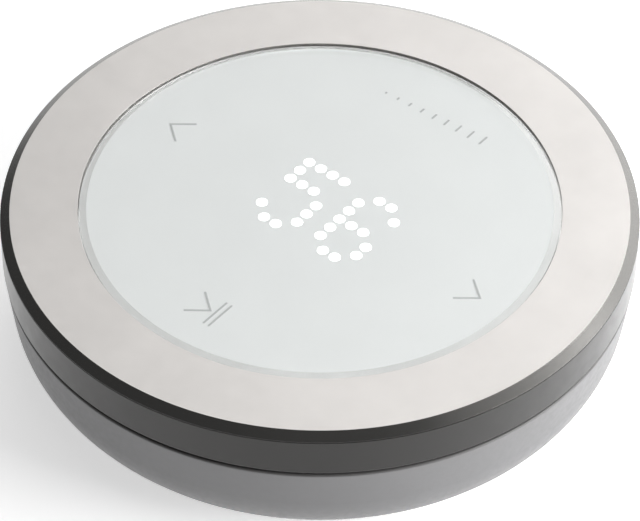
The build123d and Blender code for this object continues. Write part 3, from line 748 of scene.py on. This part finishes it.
def volume_tick(k):
    """One tick of the rising row."""
    x = (k - (TICK_COUNT - 1) / 2) * TICK_PITCH + TICK_SHIFT
    return stroke([(x, TICK_BASE), (x, TICK_BASE + TICK_SHORTEST + TICK_RISE * k)], STROKE)


def make_dots():
    """The lit dots of the two digits."""
    light = glow("dot_light", (1.0, 1.0, 1.0), 1.6)
    for first, digit in DIGIT_COLUMNS.items():
        circles = []
        for row, line in enumerate(DIGITS[digit]):
            for column, state in enumerate(line):
                if state == "#":
                    x = (first + column - (GRID_COLUMNS - 1) / 2) * DOT_PITCH
                    y = ((len(DIGITS[digit]) - 1) / 2 - row) * DOT_PITCH
                    circles.append(circle(x, y, DOT_DIAMETER / 2))
        lay_print(f"lit_digit_{digit}", circles, light)


def circle(x, y, radius, steps=32):
    """A round 2-D outline."""
    return [(x + radius * math.cos(TAU * k / steps), y + radius * math.sin(TAU * k / steps))
            for k in range(steps)]


# ---- Base, foot and battery door ----------------------------------------------------------------

BASE_TOP_RADIUS = 39.9
BASE_TAPER = math.tan(math.radians(6.8))
BASE_ROUND = 10.0
BASE_WALL = 2.0
# How far down the base's top is painted darker grey: painted shade where the band shades the seam
SEAM_SHADE_DEPTH = 0.17
DOOR_BORE = 25.0
NOTCH_RADIUS = 26.35
FOOT_SEAT_INNER = 26.75
FOOT_SEAT_OUTER = 30.25
FOOT_SEAT_ROOF = 1.2
# The seat's outer rim is a hair above the bottom, where the bowl's round has already begun
FOOT_SEAT_RISE = 0.02
LUG_COUNT = 3
LUG_STEP = 360 / LUG_COUNT
LUG_SPAN = 22.0
NOTCH_SPAN = 25.0
DOOR_TWIST = 30.0
CUT_REACH = 0.2
INDEX_RADIUS = 25.9
INDEX_DEPTH = 0.2
# One dot where the door is locked and two where it comes free: angle and radius of each
INDEX_DOTS = ((-90, 0.35), (-118.5, 0.25), (-121.5, 0.25))


def around(centre, span):
    """Start and stop of a span centred on an angle, in degrees, repeated for each lug."""
    return [(centre + LUG_STEP * k - span / 2, centre + LUG_STEP * k + span / 2)
            for k in range(LUG_COUNT)]


def make_base(finishes):
    """Tapered bowl with a large round, the foot's seat and the door's entry notches."""
    bottom, top = low("base_shell") / MM, high("base_shell") / MM
    outer = BASE_TOP_RADIUS
    floor = bottom + BASE_WALL
    inner = outer - BASE_WALL / math.cos(math.atan(BASE_TAPER))
    outline = rounded([
        (NOTCH_RADIUS, floor, 0),
        (DOOR_BORE, floor, 0.15),
        (DOOR_BORE, bottom, 0.25),
        (NOTCH_RADIUS, bottom, 0),
        (FOOT_SEAT_INNER, bottom, 0.05),
        (FOOT_SEAT_INNER, FOOT_SEAT_ROOF, 0),
        (FOOT_SEAT_OUTER, FOOT_SEAT_ROOF, 0),
        (FOOT_SEAT_OUTER, bottom + FOOT_SEAT_RISE, 0.04),
        (outer - (top - bottom) * BASE_TAPER, bottom, BASE_ROUND),
        (outer, top, 0.3),
        (inner, top, 0.2),
        (inner - (top - floor) * BASE_TAPER, floor, BASE_ROUND - BASE_WALL),
    ])
    bridge = (nearest(outline, NOTCH_RADIUS, floor), nearest(outline, NOTCH_RADIUS, bottom))

    # Painted shade: the top flat and the upper half of its rounding get a darker grey
    def zone(_, height):
        return 1 if height > top - SEAM_SHADE_DEPTH else 0

    shell = lathe("bowl_shell", outline, around(-DOOR_TWIST, NOTCH_SPAN), bridge, zone)
    seam_shade = moulded("seam_painted_shade", (0.085, 0.083, 0.082), 0.5)
    dress(shell, finishes["shell_plastic"], seam_shade)
    start = (bottom - CUT_REACH) * MM
    marks = [circle(INDEX_RADIUS * math.cos(math.radians(angle)),
                    INDEX_RADIUS * math.sin(math.radians(angle)), size)
             for angle, size in INDEX_DOTS]
    shell = cut(shell, slab("index_cutter", marks, start, (INDEX_DEPTH + CUT_REACH) * MM))
    settle(shell, "base", "shell_plastic", "base_shell")


def make_foot(finishes):
    """Rubber ring with three shallow grip grooves in its underside."""
    inner, outer = 26.8, 30.2
    top = high("foot_ring") / MM
    groove_pitch, groove_depth, groove_half, groove_round = 0.85, 0.25, 0.18, 0.06
    corners = [(inner, top, 0), (inner, 0, 0.3)]
    for k in (-1, 0, 1):
        radius = (inner + outer) / 2 + groove_pitch * k
        near, far = radius - groove_half, radius + groove_half
        corners += [(near, 0, groove_round), (near, groove_depth, groove_round),
                    (far, groove_depth, groove_round), (far, 0, groove_round)]
    corners += [(outer, 0, 0.3), (outer, top, 0)]
    foot = lathe("foot_pad", rounded(corners, 0.01))
    dress(foot, finishes["foot_rubber"])
    settle(foot, "base", "foot_rubber", "foot_ring")


def make_door(finishes):
    """Battery door with its three lugs, rim, coin slot and index dot."""
    bottom, top = low("battery_door") / MM, high("battery_door") / MM
    plate_top, rim_inner, outer, lug = 2.4, 23.3, 24.8, 26.1
    lug_bottom = 2.55
    slot_half, slot_radius, slot_depth, slot_steps = 8.0, 1.0, 0.9, 16
    dot_place, dot_radius, dot_depth = -23.4, 0.35, 0.25
    outline = rounded([
        (0, bottom, 0),
        (outer, bottom, 0.25),
        (outer, lug_bottom, 0),
        (lug, lug_bottom, 0.1),
        (lug, top, 0.1),
        (outer, top, 0),
        (rim_inner, top, 0.1),
        (rim_inner, plate_top, 0.1),
        (0, plate_top, 0),
    ])
    bridge = (nearest(outline, outer, lug_bottom), nearest(outline, outer, top))
    door = lathe("bay_door", outline, around(LUG_STEP / 2, LUG_STEP - LUG_SPAN), bridge)
    turns = [math.pi * (k / slot_steps - 0.5) for k in range(slot_steps + 1)]
    slot = [(slot_half + slot_radius * math.cos(a), slot_radius * math.sin(a)) for a in turns]
    slot += [(-x, -y) for x, y in slot]
    start = (bottom - CUT_REACH) * MM
    door = cut(door, slab("slot_cutter", [slot], start, (slot_depth + CUT_REACH) * MM))
    dot = circle(0, dot_place, dot_radius)
    door = cut(door, slab("dot_cutter", [dot], start, (dot_depth + CUT_REACH) * MM))
    dress(door, finishes["door_plastic"])
    settle(door, "door", "door_plastic", "battery_door")


# ---- Carried-over CAD nodes ---------------------------------------------------------------------


def dress_nodes(finishes):
    """Gives every CAD node the material of its slot."""
    for node, thing in frame["nodes"].items():
        dress(thing, finishes[slot_of[node]])


# ---- Studio -------------------------------------------------------------------------------------

FLOOR_RADIUS = 4.0
FLOOR_GLOW = 0.5
SURROUND = 0.16
# name: azimuth from the camera's side towards the right, elevation, width and height in degrees,
# distance in metres and brightness
SOFTBOXES = {
    "side_key": (74, 24, 44, 24, 0.45, 14.5),
    "upper_right": (92, 50, 44, 30, 1.0, 0.45),
    "right_wall": (135, 20, 56, 40, 1.0, 2.4),
    "back_wall": (155, 46, 54, 44, 1.0, 0.9),
    "overhead": (0, 90, 26, 26, 1.0, 1.0),
    "front_wall": (0, 20, 110, 34, 1.0, 0.35),
}


def make_floor():
    """A plain pale light table."""
    finish = Finish("floor_paint", (0.9, 0.9, 0.9), 0.6)
    finish.tint(finish.noise(60.0, 3.0), (0.89, 0.89, 0.89), (0.91, 0.91, 0.91))
    finish.give({"Emission Color": (1, 1, 1, 1), "Emission Strength": FLOOR_GLOW})
    bm = bmesh.new()
    bmesh.ops.create_circle(bm, cap_ends=True, segments=64, radius=FLOOR_RADIUS)
    floor = close_mesh("floor", bm)
    dress(floor, finish.material)


def softbox(name, azimuth, elevation, width, height, distance, brightness):
    """A rectangular area light facing the object."""
    data = bpy.data.lights.new(name, "AREA")
    data.shape = "RECTANGLE"
    data.size = 2 * distance * math.tan(math.radians(width / 2))
    data.size_y = 2 * distance * math.tan(math.radians(height / 2))
    data.energy = math.pi * data.size * data.size_y * brightness
    lamp = new_object(name, data)
    a = VIEW_AZIMUTH + math.radians(azimuth)
    e = math.radians(elevation)
    away = Vector((math.sin(a) * math.cos(e), -math.cos(a) * math.cos(e), math.sin(e)))
    lamp.location = away * distance
    lamp.rotation_euler = away.to_track_quat("Z", "Y").to_euler()
    return lamp


def make_lights():
    """Softboxes on the right, behind and overhead, a faint one in front, in a dim pale surround."""
    # Glass bends low light down past the ring's edge, so the face ring throws no shadow
    blockers = bpy.data.collections.new("no_shadow")
    blockers.objects.link(bpy.data.objects["face_ring"])
    blockers.collection_objects[0].light_linking.link_state = "EXCLUDE"
    for name, place in SOFTBOXES.items():
        softbox(name, *place).light_linking.blocker_collection = blockers
    world = bpy.data.worlds.new("surround")
    world.use_nodes = True
    background = world.node_tree.nodes["Background"]
    background.inputs["Color"].default_value = (1, 1, 1, 1)
    background.inputs["Strength"].default_value = SURROUND
    scene = bpy.context.scene
    scene.world = world
    # The glass casts no shadow, so light focused by it would be counted twice
    scene.cycles.caustics_refractive = False
    scene.cycles.caustics_reflective = False
    scene.view_settings.view_transform = "Standard"


make_camera()
finishes = make_finishes()
dress_nodes(finishes)
make_top_ring(finishes)
make_grip_band(finishes)
make_glass(finishes)
make_print(finishes)
make_dots()
make_base(finishes)
make_foot(finishes)
make_door(finishes)
make_floor()
make_lights()
